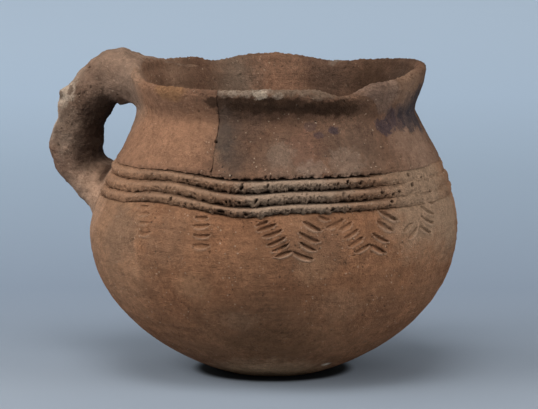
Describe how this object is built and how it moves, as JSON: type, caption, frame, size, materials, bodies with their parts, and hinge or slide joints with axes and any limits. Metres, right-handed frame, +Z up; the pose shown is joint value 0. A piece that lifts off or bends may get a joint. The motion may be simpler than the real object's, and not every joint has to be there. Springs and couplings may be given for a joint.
{
  "type": "earthenware handled pitcher",
  "caption": "Round-bellied hand-built clay pitcher with a wavy flared mouth, a lumpy loop handle and a belt of exposed lapped coils.",
  "frame": {"origin": "middle of the flat foot, on the surface that the pitcher stands on", "axes": "+Z up, handle along -X"},
  "size_m": [0.1705, 0.15, 0.1306],
  "materials": {
    "base_clay": "unglazed, scraped, grey-brown",
    "wall_clay": "unglazed, scraped, reddish brown",
    "belt_clay": "unglazed, pinched, grey-brown",
    "neck_clay": "unglazed, smoothed, light reddish brown",
    "sherd_clay": "unglazed, smoothed, grey-brown",
    "handle_clay": "unglazed, hand-smoothed, worn"
  },
  "bodies": {
    "root": {"base_bowl": "base_clay", "body_coil_1": "wall_clay", "body_coil_2": "wall_clay", "body_coil_3": "wall_clay", "body_coil_4": "wall_clay", "body_coil_5": "wall_clay", "shoulder_coil": "wall_clay", "exposed_coil_lower": "belt_clay", "exposed_coil_middle": "belt_clay", "exposed_coil_upper": "belt_clay", "neck_coil_1": "neck_clay", "neck_coil_2": "neck_clay", "rim_coil": "neck_clay", "neck_sherd": "sherd_clay", "handle": "handle_clay", "handle_body_wad": "handle_clay", "handle_rim_wad": "handle_clay"}
  },
  "joints": []
}
